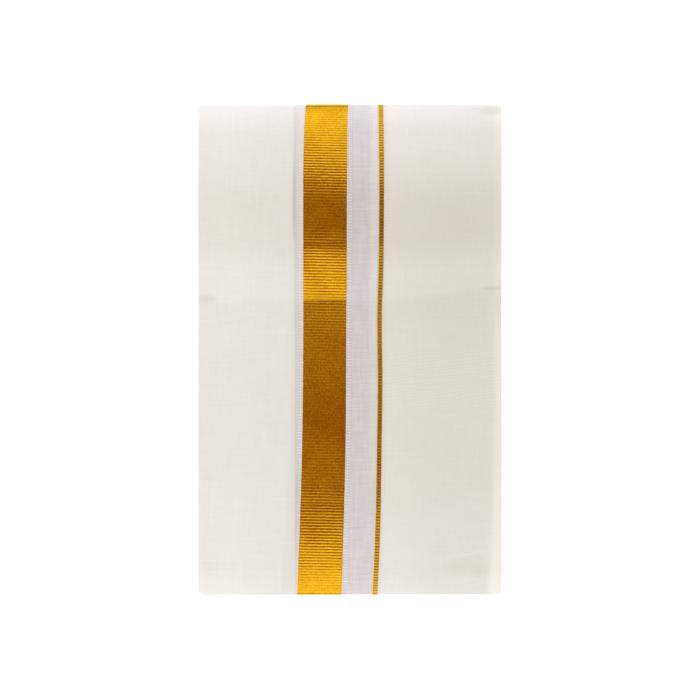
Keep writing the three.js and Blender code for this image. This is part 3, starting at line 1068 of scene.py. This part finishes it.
def buildRibTree():
    tree, given, finish = geometryTree("zariRibs", {
        "Width": 0.03, "Length": 0.3, "Body": 0.0003, "Body Rows": 700, "Rib Pitch": 0.0022, "Rib Count": 170,
        "Rib Width": 0.0022, "Rib Height": 0.0003, "Crown": 0.00004, "Shoulder": 0.35, "Lean": 0.0,
        "Lean From": 0.1, "Lean Full": 0.12, "Lean To": 0.14, "Rib Steps": 40, "Skew": 0.0, "Wave": 0.0003,
        "Bead": 0.2, "Seed": 1.0,
    })
    ends = {"Start": combined(tree, given["Width"] * -0.5), "End": combined(tree, given["Width"] * 0.5)}
    bar = grow(tree, "CurvePrimitiveLine", ends)
    bar = grow(tree, "ResampleCurve", {"Curve": bar, "Count": given["Rib Steps"]})
    bar = grow(tree, "SetCurveNormal", {"Curve": bar}, mode="Z_UP")
    # the rib's section: a low crown between two shoulders, closed by its flat underside
    section = grow(tree, "CurvePrimitiveLine", {"Start": (-1, 0, 0), "End": (1, 0, 0)})
    section = grow(tree, "ResampleCurve", {"Curve": section, "Count": 11})
    across, _, _ = parts(grow(tree, "InputPosition"))
    away = calc("ABSOLUTE", across)
    spread = calc("POWER", away, given["Shoulder"]) * calc("SIGN", across)
    top = (given["Rib Height"] - given["Crown"] * (spread * spread)) * calc("LESS_THAN", away, 0.99)
    # the section's own axes point backwards and down
    place = combined(tree, spread * (given["Rib Width"] * -0.5), top * -1.0)
    section = grow(tree, "SetPosition", {"Geometry": section, "Position": place})
    section = grow(tree, "SetSplineCyclic", {"Geometry": section, "Cyclic": True})
    rib = grow(tree, "CurveToMesh", {"Curve": bar, "Profile Curve": section, "Fill Caps": True})
    offset = combined(tree, 0.0, given["Rib Pitch"] * -1.0)
    row = grow(tree, "MeshLine", {"Count": given["Rib Count"], "Offset": offset})
    ribs = grow(tree, "InstanceOnPoints", {"Points": row, "Instance": rib})
    ribs = grow(tree, "RealizeInstances", {"Geometry": ribs})
    # each rib wanders a little and swells where its threads cross
    x, y, z = parts(grow(tree, "InputPosition"))
    wander = noise(combined(tree, x * 150.0, y * 130.0, given["Seed"]), 1.5) - 0.5
    swell = noise(combined(tree, x * 620.0, y * 400.0, given["Seed"]), 1.0) - 0.5
    # the ribs above the crease tip over towards it
    along = y * -1.0
    passed = along / given["Rib Pitch"]
    offMiddle = (calc("ROUND", passed) - passed) * given["Rib Pitch"]
    tipped = along.ramp(given["Lean From"], given["Lean Full"], 0, given["Lean"])
    tipped = tipped * calc("LESS_THAN", along, given["Lean To"])
    risen = calc("GREATER_THAN", z, given["Rib Height"] * 0.5)
    shiftY = x * given["Skew"] + wander * given["Wave"]
    shiftZ = swell * given["Bead"] * (z * 2.0) + offMiddle * tipped * risen
    ribs = grow(tree, "SetPosition", {"Geometry": ribs, "Offset": combined(tree, 0.0, shiftY, shiftZ)})
    lift = combined(tree, 0.0, 0.0, given["Body"])
    ribs = grow(tree, "Transform", {"Geometry": ribs, "Translation": lift})
    size = combined(tree, given["Width"], given["Length"], given["Body"])
    body = grow(tree, "MeshCube", {"Size": size, "Vertices X": 7, "Vertices Y": given["Body Rows"]})
    shift = combined(tree, 0.0, (given["Length"] - given["Rib Pitch"]) * -0.5, given["Body"] * 0.5)
    body = grow(tree, "Transform", {"Geometry": body, "Translation": shift})
    joined = grow(tree, "JoinGeometry", {"Geometry": ribs})
    feed(tree, joined.socket.node.inputs["Geometry"], body)
    return finish(joined)


def grown(name, tree, values):
    # a piece whose mesh a node tree makes, laid out flat, and its points
    piece = inScene(name, bpy.data.meshes.new(name))
    modifier = piece.modifiers.new("grow", "NODES")
    modifier.node_group = tree
    for item in tree.interface.items_tree:
        if item.item_type == "SOCKET" and item.in_out == "INPUT" and item.name in values:
            modifier[item.identifier] = values[item.name]
    madePlain(piece)
    points = np.zeros(len(piece.data.vertices) * 3)
    piece.data.vertices.foreach_get("co", points)
    return piece, points.reshape(-1, 3)


def putPoints(piece, points, places):
    mesh = piece.data
    mesh.vertices.foreach_set("co", np.asarray(points, dtype=np.float32).ravel())
    mapCloth(mesh, places)
    mesh.set_sharp_from_angle(angle=sharpAngle)
    mesh.update()


ribTree = buildRibTree()


def stripeRun():
    # the first and last rib of what shows, and how many there are
    first = math.ceil(ribAt(-packet["farRadius"] * zari["farEnd"]))
    last = math.floor(ribAt(topRun + packet["nearRadius"] * zari["nearEnd"]))
    return first, last - first + 1


def layOnCloth(piece, flat, stripe, first):
    # from flat strips, rib by rib, to their place on the folded cloth
    way = wayOfRib(first - flat[:, 1] / zari["ribPitch"])
    outerY = outerPlace(way)[0]
    narrow = np.interp(outerY, bandNarrows["y"], bandNarrows["share"])
    x = stripe["centre"] + swayOf(stripe["sway"], outerY) + flat[:, 0] * narrow
    press = np.interp(way, ribsPressed["way"], ribsPressed["share"]) * stripe["pressed"]
    risen = np.maximum(flat[:, 2] - zari["body"], 0)
    points = foldUp(x, way, -(zari["clearance"] + flat[:, 2] - press * risen))
    putPoints(piece, points, np.stack([flat[:, 0], way], axis=-1))


def ribbed(name, stripe, pitch, count, ribSteps, seed, more):
    return grown(name, ribTree, {
        "Width": stripe["width"], "Length": count * pitch, "Body": zari["body"], "Rib Pitch": pitch,
        "Rib Count": count, "Rib Width": pitch - zari["groove"], "Crown": stripe["crown"],
        "Shoulder": stripe["shoulder"], "Rib Steps": ribSteps, "Bead": zari["bead"], "Seed": seed,
        "Material": gold, **more,
    })


def zariPiece(name, stripe, ribSteps, seed):
    first, count = stripeRun()
    pitch = zari["ribPitch"]
    leanFrom, leanFull, leanTo = ((ribAt(way) - first) * pitch
                                  for way in (zari["leanFrom"], zari["leanFull"], creaseWay))
    piece, flat = ribbed(name, stripe, pitch, count, ribSteps, seed, {
        "Body Rows": 4 * count + 1, "Rib Height": stripe["ribHeight"], "Skew": zari["skew"],
        "Wave": zari["wave"], "Lean": zari["lean"], "Lean From": leanFrom, "Lean Full": leanFull,
        "Lean To": leanTo,
    })
    layOnCloth(piece, flat, stripe, first)
    return piece


bandPiece = zariPiece("zariBand", band, 38, 3.0)
stand(bandPiece, gold, "zari_gold", "zari_band")
linePiece = zariPiece("zariLine", line, 7, 8.0)
stand(linePiece, lineGold, "zari_gold_line", "zari_line")
print("zari made:", len(bandPiece.data.polygons), len(linePiece.data.polygons))


def lowerZariPiece(name, stripe, ribSteps, seed):
    # the stretch that shows on the lower fold at the far end
    length = foldRadius * (zari["lowerTo"] - zari["lowerFrom"])
    piece, flat = ribbed(name, stripe, length / 2, 2, ribSteps, seed, {
        "Body Rows": 13, "Rib Height": stripe["ribHeight"] * 0.8, "Skew": 0.0, "Wave": 0.0002,
    })
    turn = zari["lowerFrom"] + (length / 4 - flat[:, 1]) / foldRadius
    reach = foldRadius + zari["clearance"] + flat[:, 2]
    y = packet["halfLength"] - foldInset["fourToFive"] - foldRadius + reach * np.sin(turn)
    x = stripe["centre"] + swayOf(stripe["sway"], y) + flat[:, 0]
    z = settle(x, y, layerPitch + foldRadius + reach * np.cos(turn))
    putPoints(piece, np.stack([x, y, z], axis=-1), np.stack([flat[:, 0], -flat[:, 1]], axis=-1))
    return piece


lowerBandPiece = lowerZariPiece("zariBandLower", band, 44, 4.0)
stand(lowerBandPiece, gold, "zari_gold", "zari_band_lower")
lowerLinePiece = lowerZariPiece("zariLineLower", line, 7, 9.0)
stand(lowerLinePiece, gold, "zari_gold_line", "zari_line_lower")


# white cotton floats in columns beside the zari, one for each rib

floatUnevenness = 0.3
# the stripe and its side, the offset from its edge, the size across, the share of the pitch that one float
# covers, its height and seed, and where the column ends if it stops short of the near end
floatColumns = {
    "bandEdgeLeft": (band, -1, 0.00045, 0.00085, 0.96, 0.00032, 2),
    "bandDotsLeft": (band, -1, 0.0017, 0.0012, 0.52, 0.00016, 3, -0.150),
    "bandDotsOuterLeft": (band, -1, 0.0032, 0.0013, 0.48, 0.00014, 4, -0.085),
    "bandEdgeRight": (band, 1, 0.00045, 0.00085, 0.96, 0.00032, 5),
    "bandDotsRight": (band, 1, 0.0017, 0.0012, 0.52, 0.00016, 6),
    "bandDotsOuterRight": (band, 1, 0.0032, 0.0013, 0.48, 0.00014, 7),
    "lineEdgeLeft": (line, -1, 0.00045, 0.0009, 0.80, 0.00030, 8),
    "lineEdgeRight": (line, 1, 0.00045, 0.0009, 0.90, 0.00030, 9),
    "lineDotsRight": (line, 1, 0.0018, 0.0011, 0.48, 0.00013, 10),
}


def buildFloatTree():
    tree, given, finish = geometryTree("cottonFloats", {
        "Count": 170, "Pitch": 0.0022, "Across": 0.001, "Along": 0.001, "Height": 0.0001, "Unevenness": 0.3,
        "Seed": 1,
    })

    def shaken(low, high, salt):
        values = {2: low, 3: high, "Seed": given["Seed"] + salt}
        return add(tree, "FunctionNodeRandomValue", values, 1, data_type="FLOAT") * given["Unevenness"]

    offset = combined(tree, 0.0, given["Pitch"] * -1.0)
    row = grow(tree, "MeshLine", {"Count": given["Count"], "Offset": offset})
    bead = grow(tree, "MeshUVSphere", {"Segments": 8, "Rings": 4, "Radius": 0.5})
    size = combined(tree, given["Across"] * (shaken(-1, 0.6, 11) + 1.0),
                    given["Along"] * (shaken(-0.5, 0.3, 12) + 1.0), given["Height"] * 2.0)
    placed = grow(tree, "InstanceOnPoints", {"Points": row, "Instance": bead, "Scale": size})
    nudge = combined(tree, given["Across"] * shaken(-0.5, 0.5, 13))
    return finish(grow(tree, "TranslateInstances", {"Instances": placed, "Translation": nudge}))


floatTree = buildFloatTree()


def floatPiece(name, stripe, side, offset, across, share, height, seed, endY=None):
    first, count = stripeRun()
    if endY is not None:
        count = math.floor(ribAt(farY - endY)) - first + 1
    pitch = zari["ribPitch"]
    piece, flat = grown(name, floatTree, {
        "Count": count, "Pitch": pitch, "Across": across, "Along": share * pitch, "Height": height,
        "Unevenness": floatUnevenness, "Seed": seed, "Material": floatCotton,
    })
    flat[:, 0] += side * (stripe["width"] / 2 + offset)
    layOnCloth(piece, flat, stripe, first)
    stand(piece, floatCotton, "handloom_cotton")
    return piece


floatPieces = [floatPiece(name, *column) for name, column in floatColumns.items()]
print("floats made:", sum(len(piece.data.polygons) for piece in floatPieces))
